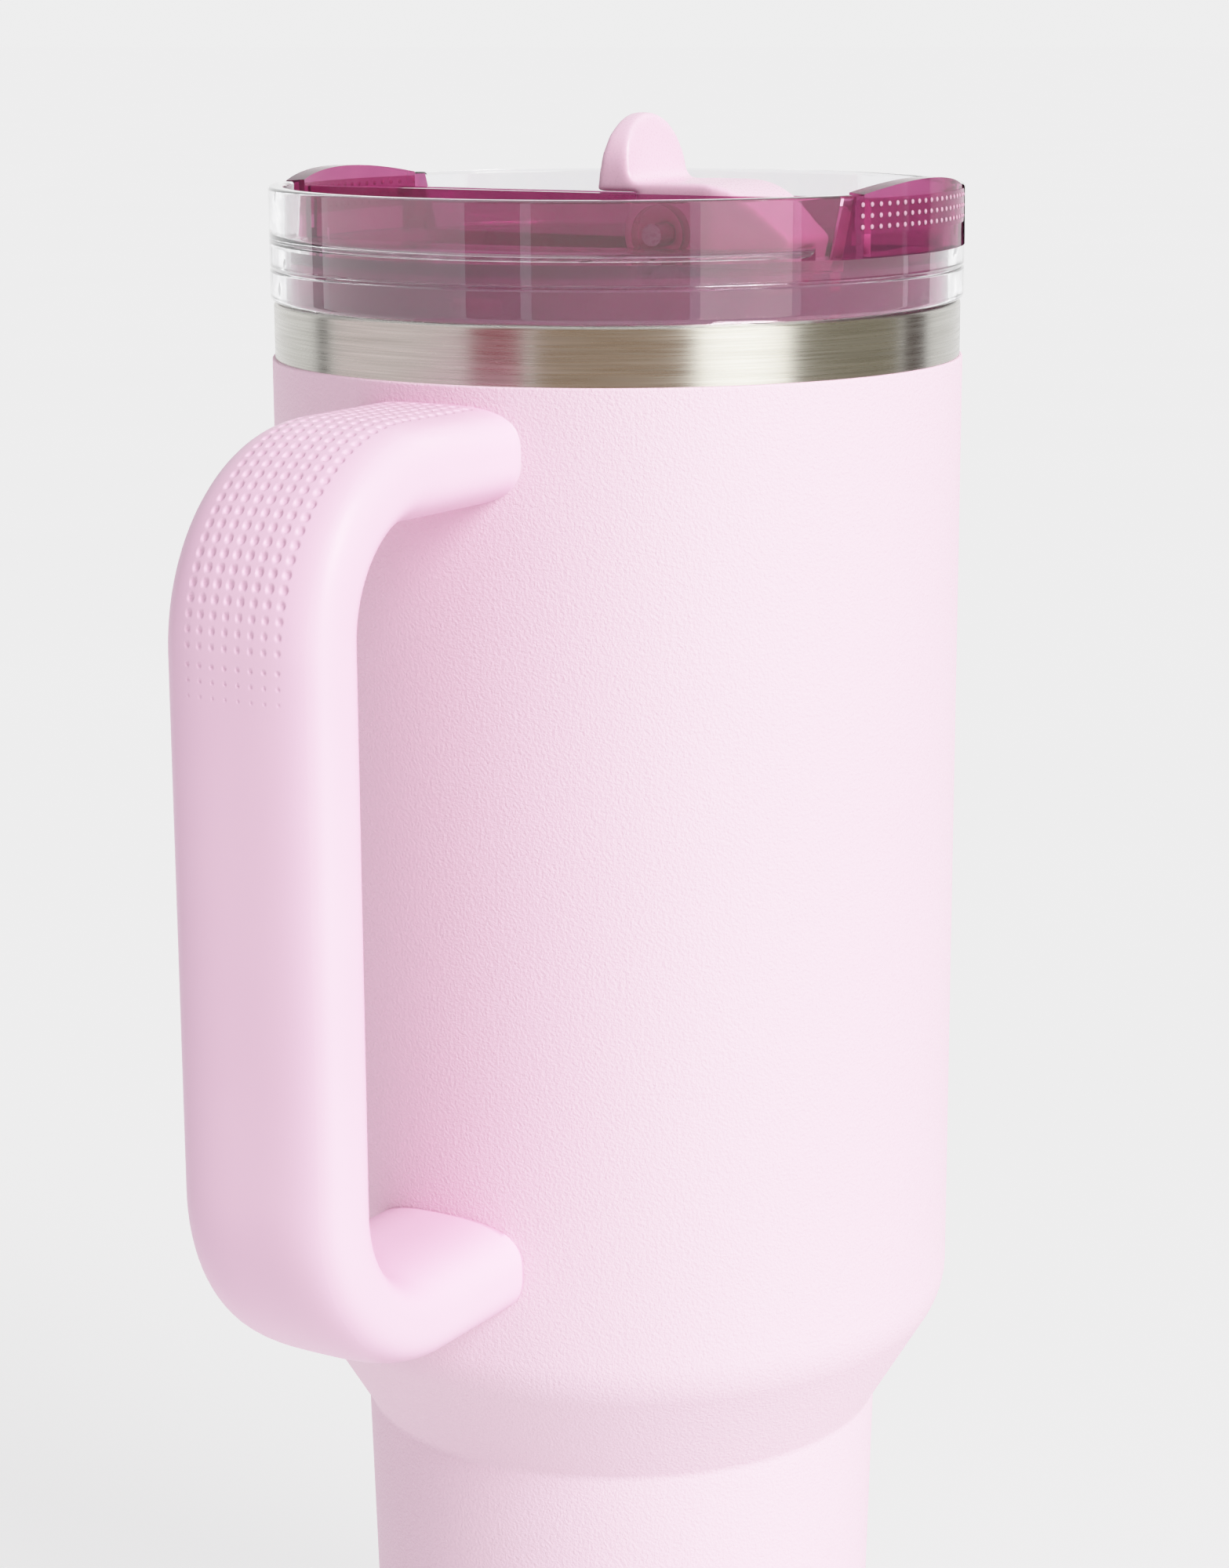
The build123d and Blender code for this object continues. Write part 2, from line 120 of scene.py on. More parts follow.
def lathe(name, outline, segments=192, centre=(0.0, 0.0)):
    """Turns a closed outline in (r, z) about an upright axis."""
    rows = len(outline)
    verts, faces = [], []
    for s in range(segments):
        a = 2 * math.pi * s / segments
        for p in outline:
            x, y = centre[0] + p[0] * math.cos(a), centre[1] + p[0] * math.sin(a)
            verts.append((x * MM, y * MM, p[1] * MM))
    for s in range(segments):
        t = (s + 1) % segments
        for k in range(rows):
            m = (k + 1) % rows
            faces.append((s * rows + k, t * rows + k, t * rows + m, s * rows + m))
    return closed_mesh(name, verts, faces)


def finish_shape(obj):
    """Bakes an object's modifiers into its mesh."""
    graph = bpy.context.evaluated_depsgraph_get()
    mesh = bpy.data.meshes.new_from_object(obj.evaluated_get(graph))
    obj.modifiers.clear()
    obj.data = mesh


def weighted(obj, crease=35):
    """Smooth shading that keeps edges sharp from an angle in degrees."""
    obj.data.set_sharp_from_angle(angle=math.radians(crease))
    obj.modifiers.new("weighted", "WEIGHTED_NORMAL").keep_sharp = True
    return obj


def cut(obj, cutter, operation="DIFFERENCE"):
    mod = obj.modifiers.new("cut", "BOOLEAN")
    mod.operation = operation
    mod.solver = "EXACT"
    mod.object = cutter
    finish_shape(obj)
    bpy.data.objects.remove(cutter)


# ------------------------------------------------------------------ material helpers
def srgb(r, g, b):
    out = []
    for c in (r, g, b):
        c /= 255
        out.append(c / 12.92 if c <= 0.04045 else ((c + 0.055) / 1.055) ** 2.4)
    return (*out, 1.0)


def material(name, colour, roughness, **sockets):
    """A material and its tree and shader; an underscore in a socket's name stands for a space."""
    mat = bpy.data.materials.new(name)
    mat.use_nodes = True
    shader = mat.node_tree.nodes["Principled BSDF"]
    shader.inputs["Base Color"].default_value = colour
    shader.inputs["Roughness"].default_value = roughness
    for key, value in sockets.items():
        shader.inputs[key.replace("_", " ")].default_value = value
    return mat, mat.node_tree, shader


def node(tree, kind, **values):
    made = tree.nodes.new(kind)
    for key, value in values.items():
        if key in made.inputs:
            made.inputs[key].default_value = value
        else:
            setattr(made, key, value)
    return made


def noise(tree, scale, detail=2.0, stretch=(1, 1, 1)):
    """A noise in the object's own coordinates, its features about 1/scale metres."""
    place = node(tree, "ShaderNodeTexCoord")
    mapping = node(tree, "ShaderNodeMapping", Scale=stretch)
    made = node(tree, "ShaderNodeTexNoise", Scale=scale, Detail=detail)
    tree.links.new(place.outputs["Object"], mapping.inputs["Vector"])
    tree.links.new(mapping.outputs["Vector"], made.inputs["Vector"])
    return made.outputs["Fac"]


def remap(tree, value, low, high):
    """Spreads the middle of a noise over a range."""
    made = node(tree, "ShaderNodeMapRange")
    made.inputs["From Min"].default_value = 0.3
    made.inputs["From Max"].default_value = 0.7
    made.inputs["To Min"].default_value = low
    made.inputs["To Max"].default_value = high
    tree.links.new(value, made.inputs["Value"])
    return made.outputs["Result"]


def vary(tree, shader, value, low, high):
    """The shader's colour runs between two colours with a value."""
    mix = node(tree, "ShaderNodeMix", data_type="RGBA")
    mix.inputs["A"].default_value = low
    mix.inputs["B"].default_value = high
    tree.links.new(remap(tree, value, 0, 1), mix.inputs["Factor"])
    tree.links.new(mix.outputs["Result"], shader.inputs["Base Color"])


def vary_gloss(tree, shader, value, low, high):
    """The shader's roughness runs between two values with a value."""
    tree.links.new(remap(tree, value, low, high), shader.inputs["Roughness"])


def bump(tree, shader, value, depth, strength=1.0):
    made = node(tree, "ShaderNodeBump", Strength=strength, Distance=depth)
    tree.links.new(value, made.inputs["Height"])
    tree.links.new(made.outputs["Normal"], shader.inputs["Normal"])


def let_light_through(mat, tint):
    """Shadow rays pass a clear material, tinted, so that what is under it isn't black."""
    tree = mat.node_tree
    path = node(tree, "ShaderNodeLightPath")
    clear = node(tree, "ShaderNodeBsdfTransparent", Color=tint)
    mix = node(tree, "ShaderNodeMixShader")
    tree.links.new(path.outputs["Is Shadow Ray"], mix.inputs["Fac"])
    tree.links.new(tree.nodes["Principled BSDF"].outputs["BSDF"], mix.inputs[1])
    tree.links.new(clear.outputs["BSDF"], mix.inputs[2])
    tree.links.new(mix.outputs["Shader"], tree.nodes["Material Output"].inputs["Surface"])


# ------------------------------------------------------------------ materials
def plastic(name, colour, other, roughness, grain=2500, depth=0.00001, spread=0.06, **sockets):
    """Moulded plastic: a faint drift in colour and gloss and a fine skin texture."""
    mat, tree, shader = material(name, colour, roughness, **sockets)
    vary(tree, shader, noise(tree, scale=35, detail=3), colour, other)
    fine = noise(tree, scale=grain)
    vary_gloss(tree, shader, fine, roughness - spread, roughness + spread)
    bump(tree, shader, fine, depth)
    return mat


def powder_coat():
    """Paint with a coarse and a fine grain on top of each other."""
    fine_share, depth = 0.35, 0.00014
    mat, tree, shader = material("powder_coat", srgb(245, 210, 227), 0.5, Specular_IOR_Level=0.4)
    vary(tree, shader, noise(tree, scale=12), srgb(244, 208, 226), srgb(246, 211, 228))
    coarse = noise(tree, scale=2300)
    fine = noise(tree, scale=5200, detail=1)
    both = node(tree, "ShaderNodeMath", operation="MULTIPLY_ADD")
    both.inputs[1].default_value = fine_share
    tree.links.new(fine, both.inputs[0])
    tree.links.new(coarse, both.inputs[2])
    vary_gloss(tree, shader, coarse, 0.46, 0.58)
    bump(tree, shader, both.outputs["Value"], depth)
    return mat


def steel(name, light, dark, around=False, roughness=0.28):
    """Steel with fine scratches, which can run round the vessel."""
    mat, tree, shader = material(name, light, roughness, Metallic=1.0, Anisotropic=0.85,
                                 Anisotropic_Rotation=0.25)
    even = (1, 1, 1)
    lines = noise(tree, scale=18, detail=3, stretch=(5, 5, 260) if around else even)
    broad = noise(tree, scale=14, detail=3, stretch=(3, 3, 240) if around else even)
    vary(tree, shader, broad, dark, light)
    vary_gloss(tree, shader, lines, roughness - 0.05, roughness + 0.07)
    bump(tree, shader, lines, 0.000012)
    tangent = node(tree, "ShaderNodeTangent", direction_type="RADIAL", axis="Z")
    tree.links.new(tangent.outputs["Tangent"], shader.inputs["Tangent"])
    return mat


def see_through(name, colour, low, high, gloss, waves, tint, **sockets):
    """Transparent plastic. gloss is its range of roughness, waves the scales of its noises."""
    mat, tree, shader = material(name, colour, 0.02, **sockets)
    fine = noise(tree, scale=waves[0])
    vary_gloss(tree, shader, fine, *gloss)
    vary(tree, shader, fine, low, high)
    bump(tree, shader, noise(tree, scale=waves[1], detail=1), 0.00001, 0.3)
    let_light_through(mat, tint)
    return mat


def dyed(mat, colour, density):
    """Light that goes through the material is absorbed on its way."""
    tree = mat.node_tree
    dye = node(tree, "ShaderNodeVolumeAbsorption", Color=colour, Density=density)
    tree.links.new(dye.outputs["Volume"], tree.nodes["Material Output"].inputs["Volume"])
    return mat


POWDER = powder_coat()
STEEL = steel("liner_steel", srgb(196, 194, 188), srgb(176, 174, 167), around=True)
PLAIN_STEEL = steel("base_steel", srgb(190, 188, 184), srgb(172, 170, 166), roughness=0.4)
SCREW_STEEL = steel("screw_steel", srgb(185, 184, 182), srgb(160, 159, 157), roughness=0.3)
GETTER = steel("getter_metal", srgb(120, 118, 116), srgb(90, 88, 86), roughness=0.5)
SOLDER = steel("solder", srgb(170, 170, 172), srgb(140, 140, 143), roughness=0.45)
PAD = plastic("pad_rubber", srgb(214, 176, 198), srgb(206, 168, 190), 0.7, grain=1800,
              depth=0.00003)
CORE = plastic("core_plastic", srgb(220, 216, 210), srgb(208, 204, 198), 0.5)
GRIP = plastic("grip_plastic", srgb(245, 203, 226), srgb(242, 199, 223), 0.38, grain=3000,
               depth=0.000008, Specular_IOR_Level=0.3)
SPOUT = plastic("spout_plastic", srgb(245, 206, 225), srgb(243, 202, 222), 0.3, grain=3000,
                depth=0.000004)
PIN = plastic("pin_plastic", srgb(146, 66, 106), srgb(140, 60, 100), 0.3, grain=2000,
              depth=0.000005)
# Grip dots: the domes and their gloss are real, but their pale pinkish-white colour is a painted
# highlight. It is lighter than the tinted grip they sit on, so the dots show as bright specks.
DOT_PAINTED_HIGHLIGHT = plastic("dot_plastic_painted_highlight", srgb(238, 196, 216), srgb(232, 186, 208), 0.16, grain=2000,
              depth=0.000003, spread=0.04, Transmission_Weight=0.35)
SEAL = plastic("seal_silicone", srgb(236, 232, 236), srgb(226, 221, 227), 0.45, grain=1500,
               Transmission_Weight=0.25)
STRAW = plastic("straw_plastic", srgb(246, 240, 244), srgb(240, 232, 238), 0.25, grain=1200,
                depth=0.000005, Transmission_Weight=0.6, IOR=1.49)
CLEAR = see_through("clear_plastic", srgb(250, 250, 252), srgb(249, 249, 252),
                    srgb(252, 252, 253), gloss=(0.0, 0.03), waves=(260, 60),
                    tint=(0.97, 0.97, 0.98, 1), Transmission_Weight=1.0, IOR=1.37,
                    Coat_Weight=0.7, Coat_Roughness=0.02, Coat_IOR=1.6)
TINTED = dyed(see_through("tinted_plastic", srgb(198, 122, 166), srgb(195, 118, 163),
                          srgb(201, 126, 169), gloss=(0.03, 0.1), waves=(240, 50),
                          tint=(0.96, 0.9, 0.93, 1), Transmission_Weight=0.92, IOR=1.22),
              colour=(0.66, 0.2, 0.43, 1), density=185.0)


def give(obj, mat):
    obj.data.materials.clear()
    obj.data.materials.append(mat)


def piece(obj, mat, body, slot_name, *replaced):
    give(obj, mat)
    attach(obj, body)
    if replaced:
        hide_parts(*replaced)


# ------------------------------------------------------------------ vessel
SHELL_LOW, SHELL_HIGH = cad_corners("outer_shell")
BODY_R, COAT_TOP, COAT_FOOT = SHELL_HIGH[0], SHELL_HIGH[2], SHELL_LOW[2]
LINER_LOW, LINER_HIGH = cad_corners("inner_liner")
BAND_R, RIM, LINER_FOOT = LINER_HIGH[0], LINER_HIGH[2], LINER_LOW[2]
PAD_HIGH = cad_corners("base_pad")[1]
PAD_R, PAD_TOP = PAD_HIGH[0], PAD_HIGH[2]
WALL = 0.8
CONE_R, CONE_TOP, NECK_R, CONE_FOOT, FOOT_R = 48.75, 87.1, 38.3, 69.7, 36.5
CONE_SHIFT = 0.4
BORE_R, BORE_FOOT, WELL_R, WELL_TOP, WELL_FOOT_R = 44.4, 90.0, 34.0, 72.5, 32.2
BAND_LOW = 224.2
PAD_GROOVES, GROOVE_DEPTH = (20.0, 24.0, 28.0), 0.5


def body_coat():
    """Coated outer wall: straight body, cone shoulder and narrow neck."""
    return lathe("body_coat", rounded([
        (BODY_R, COAT_TOP, 0.3), (BODY_R - WALL, COAT_TOP, 0.15),
        (CONE_R - WALL, CONE_TOP + CONE_SHIFT, 11.2), (NECK_R - WALL, CONE_FOOT + CONE_SHIFT, 3.3),
        (FOOT_R - WALL, COAT_FOOT, 0.15), (FOOT_R, COAT_FOOT, 0.5), (NECK_R, CONE_FOOT, 2.5),
        (CONE_R, CONE_TOP, 12.0)], 8), 256)


def steel_liner():
    """Inner wall, folded over at the rim into the bare band."""
    return lathe("steel_liner", rounded([
        (BAND_R, RIM, 0.6), (BAND_R, BAND_LOW), (BAND_R - WALL, BAND_LOW),
        (BAND_R - WALL, RIM - WALL, 0.2), (BORE_R + WALL, RIM - WALL, 0.2),
        (BORE_R + WALL, BORE_FOOT, 12.0), (WELL_R + WALL, WELL_TOP, 2.5),
        (WELL_FOOT_R + WALL, LINER_FOOT, 0.2), (WELL_FOOT_R, LINER_FOOT, 0.2),
        (WELL_R, WELL_TOP, 3.3), (BORE_R, BORE_FOOT, 11.2), (BORE_R, RIM, 0.5)], 8), 256)


def foot_pad():
    """Rubber pad with ring grooves under it."""
    outline = [(PAD_R, 0.0, 0.8), (PAD_R, PAD_TOP, 0.1), (0.0, PAD_TOP), (0.0, 0.0)]
    for r in PAD_GROOVES:
        outline += [(r, 0.0), (r + 0.4, GROOVE_DEPTH, 0.2), (r + 1.6, GROOVE_DEPTH, 0.2),
                    (r + 2.0, 0.0)]
    return lathe("foot_pad", rounded(outline, 4), 160)


piece(weighted(body_coat()), POWDER, "vessel", "powder_coat", "outer_shell")
piece(weighted(steel_liner()), STEEL, "vessel", "liner_steel", "inner_liner")
piece(weighted(foot_pad()), PAD, "vessel", "pad_rubber", "base_pad")

# ------------------------------------------------------------------ handle
HANDLE_LOW, HANDLE_HIGH = cad_corners("handle_grip")
HALF_W, HALF_D, CORNER = 12.35, 6.75, 20.9
ARM_TOP, ARM_LOW = HANDLE_HIGH[2] - HALF_D, HANDLE_LOW[2] + HALF_D
BAR_X = HANDLE_HIGH[0] - HALF_D
ROOT_X, ROOT_SINK = 44.0, 0.1
ARM_LENGTH = BAR_X - CORNER - ROOT_X
ARC_LENGTH = CORNER * math.pi / 2
BAR_LENGTH = ARM_TOP - ARM_LOW - 2 * CORNER
ROUTE_LENGTH = 2 * (ARM_LENGTH + ARC_LENGTH) + BAR_LENGTH
OUTER_POWER, INNER_POWER = 3.3, 2.7
CORNER_FILL, FLARE = 3.4, 0.09
PITCH, DIMPLE_R, DIMPLE_DEPTH, COLUMNS = 1.95, 0.62, 0.3, 8
ROW_FIRST, ROW_LAST = 5.0, 58.2
SMALLEST, GROWTH = 0.34, 0.095


def section_angles():
    """Angles round the handle's section, close together on the face where the dimples are."""
    angles = []
    a = -math.pi / 2
    while a < 1.5 * math.pi - 1e-6:
        angles.append(a)
        facing = abs(a) < math.radians(62)
        a += math.radians(0.65 if facing else 3.0)
    return angles


def section_at(a):
    """(across, outwards) of the crowned section at an angle, 0 being the middle of its face."""
    c, s = math.cos(a), math.sin(a)
    power = OUTER_POWER if c > 0 else INNER_POWER
    r = (abs(c / HALF_D) ** power + abs(s / HALF_W) ** power) ** (-1 / power)
    return r * s, r * c


def offsets_round(angles, section):
    """Length round the section from the middle of its outer face to each of its points."""
    lengths = [0.0]
    for last, here in zip(section, section[1:]):
        lengths.append(lengths[-1] + math.hypot(here[0] - last[0], here[1] - last[1]))
    middle = min(range(len(angles)), key=lambda k: abs(angles[k]))
    return [length - lengths[middle] for length in lengths]


def route(distance):
    """Centre line of the handle in (x, z) and its outward direction, from the top arm's root."""
    if distance < ARM_LENGTH:
        return Vector((ROOT_X + distance, ARM_TOP)), Vector((0, 1))
    distance -= ARM_LENGTH
    if distance < ARC_LENGTH:
        t = distance / CORNER
        out = Vector((math.sin(t), math.cos(t)))
        return Vector((BAR_X - CORNER, ARM_TOP - CORNER)) + out * CORNER, out
    distance -= ARC_LENGTH
    if distance < BAR_LENGTH:
        return Vector((BAR_X, ARM_TOP - CORNER - distance)), Vector((1, 0))
    distance -= BAR_LENGTH
    if distance < ARC_LENGTH:
        t = distance / CORNER
        out = Vector((math.cos(t), -math.sin(t)))
        return Vector((BAR_X - CORNER, ARM_LOW + CORNER)) + out * CORNER, out
    distance -= ARC_LENGTH
    return Vector((BAR_X - CORNER - distance, ARM_LOW)), Vector((0, -1))


def stations():
    """Distances of the sections along the centre line, close together along the dimples."""
    out, d = [], 0.0
    while d < ROUTE_LENGTH:
        out.append(d)
        busy = ROW_FIRST - 2 < d < ROW_LAST + 2
        d += 0.16 if busy else 1.4
    return out + [ROUTE_LENGTH]


def stretch_at(d):
    """How much longer the outer face is than the centre line at a distance along it."""
    in_corner = ARM_LENGTH < d < ARM_LENGTH + ARC_LENGTH
    return (CORNER + HALF_D) / CORNER if in_corner else 1.0


def dimple_rows():
    """(distance along the centre line, radius) of each row, the smallest at the lower end."""
    rows = []
    d = ROW_LAST
    while d > ROW_FIRST:
        rows.append((d, DIMPLE_R * min(1.0, SMALLEST + GROWTH * len(rows))))
        d -= PITCH / stretch_at(d)
    return rows


def sink_at(offset, d, rows):
    """Depth of the dimples at an offset round the section and a distance along the handle."""
    column = round(offset / PITCH - 0.5) + 0.5
    sink = 0.0
    if abs(column) < COLUMNS / 2:
        for row, radius in rows:
            gap = math.hypot(offset - column * PITCH, (d - row) * stretch_at(row)) / radius
            if gap < 1.0:
                sink = max(sink, DIMPLE_DEPTH * radius / DIMPLE_R * (1 - gap ** 4))
    return sink


def corner_fill(centre, out, height):
    """Push of the inner side towards the outside of the corners, which makes them fuller."""
    at_start = out.x == 0.0 and centre.x > BAR_X - CORNER - 1e-6
    if not (0.0 < out.x < 1.0 or at_start):
        return Vector((0, 0))
    heading = Vector((1.0, math.copysign(1.0, centre.y - (ARM_TOP + ARM_LOW) / 2)))
    return (heading - out) * (CORNER_FILL * max(0.0, -height / HALF_D))


def handle():
    angles = section_angles()
    section = [section_at(a) for a in angles]
    offsets = offsets_round(angles, section)
    rows = dimple_rows()
    places = stations()
    verts, faces = [], []
    for d in places:
        centre, out = route(d)
        near = [row for row in rows if abs(row[0] - d) < PITCH]
        spread = 1 + FLARE * max(0.0, 1 - d / ARM_LENGTH) ** 1.5
        for a, (across, height), offset in zip(angles, section, offsets):
            y = across * spread
            dimpled = near and abs(a) < math.radians(60)
            sink = sink_at(offset, d, near) if dimpled else 0.0
            p = centre + out * (height - sink) + corner_fill(centre, out, height)
            wall = math.sqrt(BODY_R ** 2 - y * y) - ROOT_SINK
            verts.append((max(p.x, wall) * MM, y * MM, p.y * MM))
    n = len(angles)
    for i in range(len(places) - 1):
        for k in range(n):
            m = (k + 1) % n
            faces.append((i * n + k, i * n + m, (i + 1) * n + m, (i + 1) * n + k))
    faces.append(tuple(range(n)))
    faces.append(tuple(reversed(range((len(places) - 1) * n, len(places) * n))))
    return closed_mesh("handle_skin", verts, faces)


PLUGS_LOW, PLUGS_HIGH = cad_corners("screw_plugs")
PLUG_X = (PLUGS_LOW[0] + PLUGS_HIGH[0]) / 2
PLUG_R, PLUG_DOME, PLUG_SKIRT, PLUG_GAP = 3.05, 0.45, 1.1, 0.02


def plug_outline(base, steps=8):
    """Outline of a shallow dome hanging under a height, with a short skirt above it."""
    top = base + PLUG_SKIRT
    outline = [(0.0, top), (PLUG_R, top), (PLUG_R, base)]
    for k in range(1, steps + 1):
        t = math.pi / 2 * k / steps
        outline.append((PLUG_R * math.cos(t), base - PLUG_DOME * math.sin(t)))
    return outline


def plug_caps():
    """Domed plugs under both arms, over the screws."""
    parts = []
    for arm in (ARM_TOP, ARM_LOW):
        plug = lathe("plug", plug_outline(arm - HALF_D + PLUG_GAP), 48, (PLUG_X, 0.0))
        parts.append(([v.co.copy() for v in plug.data.vertices],
                      [list(face.vertices) for face in plug.data.polygons]))
        bpy.data.objects.remove(plug)
    return mesh_object("plug_caps", *gather(parts))


piece(handle(), GRIP, "vessel", "grip_plastic", "handle_grip")
piece(weighted(plug_caps()), GRIP, "vessel", "grip_plastic", "screw_plugs")

# ------------------------------------------------------------------ lid
RING_LOW, RING_HIGH = cad_corners("lid_ring")
RING_R, LID_FOOT, LID_TOP = RING_HIGH[0], RING_LOW[2], RING_HIGH[2]
LEDGE, RING_WALL = 240.5, 2.2
RING_IN = RING_R - RING_WALL
GROOVE, NICK = 237.3, 0.4
COVE = 2.2
GRIP_HALF, SLOT_LOW, SLOT_HIGH = 18.0, 18.9, 17.0
BLOCK_FACES = [(0, 1, 3, 2), (4, 6, 7, 5), (0, 4, 5, 1), (2, 3, 7, 6), (0, 2, 6, 4), (1, 5, 7, 3)]
ENDS = (1, -1)


def slot_block(end, low, high, half_low, half_high):
    """A block across one end of the trough, its two sides leaning between two half widths."""
    verts = []
    for z, half in ((low, half_low), (high, half_high)):
        for y in (30.0, 60.0):
            for x in (-half, half):
                verts.append((x * MM, end * y * MM, z * MM))
    return closed_mesh("slot_block", verts, BLOCK_FACES, False)


def clear_ring():
    """Clear outer ring: a groove round it, a slot for each grip and a cove along its inside."""
    ring = lathe("clear_ring", rounded([
        (RING_R, LID_FOOT, 0.9), (RING_R, GROOVE, 0.25), (RING_R - NICK, GROOVE + 0.15, 0.06),
        (RING_R - NICK, GROOVE + 0.45, 0.06), (RING_R, GROOVE + 0.6, 0.12),
        (RING_R, LID_TOP, 0.45), (RING_IN, LID_TOP, 0.5), (RING_IN, LID_FOOT, 0.7)], 5), 256)
    for end in ENDS:
        cut(ring, slot_block(end, LEDGE, LID_TOP + 1.7, SLOT_LOW, SLOT_HIGH - 0.3))
    cove = lathe("cove", rounded([
        (RING_IN + 0.4, LEDGE + 0.02), (RING_IN + 0.4, LEDGE + COVE + 0.3),
        (RING_IN, LEDGE + COVE + 0.3), (RING_IN, LEDGE + 0.35, COVE - 0.6),
        (RING_IN - COVE, LEDGE + 0.3), (RING_IN - COVE, LEDGE + 0.02)], 8), 256)
    for end in ENDS:
        cut(cove, slot_block(end, LEDGE - 1.0, LID_TOP, SLOT_LOW + 2.0, SLOT_LOW + 2.0))
    cut(ring, cove, "UNION")
    ring.data.polygons.foreach_set("use_smooth", [True] * len(ring.data.polygons))
    return ring


def cheek(end, side):
    """Points of the block between the side of a CAD grip and the leaning side of its slot."""
    grip_side = math.radians(GRIP_HALF + 0.01)
    radii = (RING_IN + 0.1, RING_R - 0.25)
    points = []
    for z, far in ((LEDGE + 0.03, SLOT_LOW - 0.1), (LID_TOP - 0.2, SLOT_HIGH - 0.1)):
        for r in radii:
            x, y = r * math.sin(grip_side), r * math.cos(grip_side)
            points.append((side * x * MM, end * y * MM, z * MM))
        for r in radii:
            points.append((side * far * MM, end * math.sqrt(r * r - far * far) * MM, z * MM))
    return points


def grip_cheeks():
    """Slanted sides of both grips that fill the leaning slots of the ring."""
    parts = [(cheek(end, side), BLOCK_FACES) for end in (-1, 1) for side in (-1, 1)]
    return closed_mesh("grip_cheeks", *gather(parts), False)


PANEL_HALF, PANEL_ROUND, PANEL_LOW, PANEL_HIGH = 19.9, 0.9, 243.7, 248.3
PANEL_R, PANEL_THICK = RING_R - 0.03, 0.16


def panel(end, columns=64):
    """Points and faces of a thin curved panel with rounded corners."""
    half = math.radians(PANEL_HALF) * RING_R
    verts, faces = [], []
    for k in range(columns + 1):
        u = half * math.sin(math.pi * (k / columns - 0.5))
        past = max(0.0, abs(u) - (half - PANEL_ROUND))
        nip = PANEL_ROUND - math.sqrt(max(0.0, PANEL_ROUND ** 2 - past ** 2))
        a = end * math.pi / 2 + u / RING_R
        for r in (PANEL_R - PANEL_THICK, PANEL_R):
            for z in (PANEL_LOW + nip, PANEL_HIGH - nip):
                verts.append((r * math.cos(a) * MM, r * math.sin(a) * MM, z * MM))
    for k in range(columns):
        i, j = 4 * k, 4 * k + 4
        for p, q in ((0, 1), (1, 3), (3, 2), (2, 0)):
            faces.append((i + p, i + q, j + q, j + p))
    last = 4 * columns
    faces += [(0, 2, 3, 1), (last, last + 1, last + 3, last + 2)]
    return verts, faces


def grip_panels():
    """The raised panels on the outside of both grips."""
    return closed_mesh("grip_panels", *gather([panel(end) for end in ENDS]))


DOT_ROWS, DOT_COLUMNS, DOT_LOW, DOT_PITCH, DOT_TURN = 3, 19, 244.6, 1.45, 2.05
DOT_R, DOT_HEIGHT, DOT_SINK = 0.35, 0.2, 0.03


def small_dome(foot, out, rings=4, sides=12):
    """Points and faces of a closed dome that stands on a point and faces outwards."""
    along = Vector((-out.y, out.x, 0))
    verts, faces = [], []
    for i in range(rings):
        rise = math.pi / 2 * i / rings
        for j in range(sides):
            turn = 2 * math.pi * j / sides
            flat = (along * math.cos(turn) + UP * math.sin(turn)) * (DOT_R * math.cos(rise) * MM)
            verts.append(foot + flat + out * (DOT_HEIGHT * math.sin(rise) * MM))
    verts.append(foot + out * (DOT_HEIGHT * MM))
    for i in range(rings - 1):
        for j in range(sides):
            m = (j + 1) % sides
            low, high = i * sides, (i + 1) * sides
            faces.append((low + j, low + m, high + m, high + j))
    for j in range(sides):
        low = (rings - 1) * sides
        faces.append((low + j, low + (j + 1) % sides, rings * sides))
    faces.append(tuple(reversed(range(sides))))
    return verts, faces


def grip_dots():
    """Rows of small domes on both panels."""
    parts = []
    for end in ENDS:
        for row in range(DOT_ROWS):
            z = DOT_LOW + DOT_PITCH * row
            for k in range(DOT_COLUMNS):
                a = end * math.pi / 2 + math.radians(DOT_TURN) * (k - (DOT_COLUMNS - 1) / 2)
                out = Vector((math.cos(a), math.sin(a), 0))
                foot = out * ((PANEL_R - DOT_SINK) * MM) + UP * (z * MM)
                parts.append(small_dome(foot, out))
    return closed_mesh("grip_dots", *gather(parts))


piece(weighted(clear_ring()), CLEAR, "lid", "clear_plastic", "lid_ring")
piece(grip_cheeks(), TINTED, "lid", "tinted_plastic")
piece(weighted(grip_panels()), TINTED, "lid", "tinted_plastic")
piece(grip_dots(), DOT_PAINTED_HIGHLIGHT, "lid", None)


# ------------------------------------------------------------------ mouthpiece
def spout_lever(voxel_size=0.28 * MM, smoothing=48):
    """The CAD mouthpiece with all its edges softened."""
    lever = bpy.data.objects.new("spout_lever", nodes["flip_spout"].data.copy())
    collection.objects.link(lever)
    voxel = lever.modifiers.new("voxel", "REMESH")
    voxel.mode = "VOXEL"
    voxel.voxel_size = voxel_size
    voxel.use_smooth_shade = True
    soft = lever.modifiers.new("soft", "SMOOTH")
    soft.factor = 0.5
    soft.iterations = smoothing
    finish_shape(lever)
    return lever


piece(spout_lever(), SPOUT, "spout", "spout_plastic", "flip_spout")

# ------------------------------------------------------------------ carried-over CAD nodes
for name, mat in {
    "outer_base": PLAIN_STEEL, "liner_base": STEEL, "vacuum_seal": SOLDER, "getter": GETTER,
    "handle_core": CORE, "upper_bracket": PLAIN_STEEL, "lower_bracket": PLAIN_STEEL,
    "handle_screws": SCREW_STEEL, "lid_body": TINTED, "lid_gasket": SEAL, "port_seal": SEAL,
    "vent_valve": SEAL, "pivot_pins": PIN, "straw": STRAW, "straw_sleeve": SEAL,
}.items():
    give(nodes[name], mat)

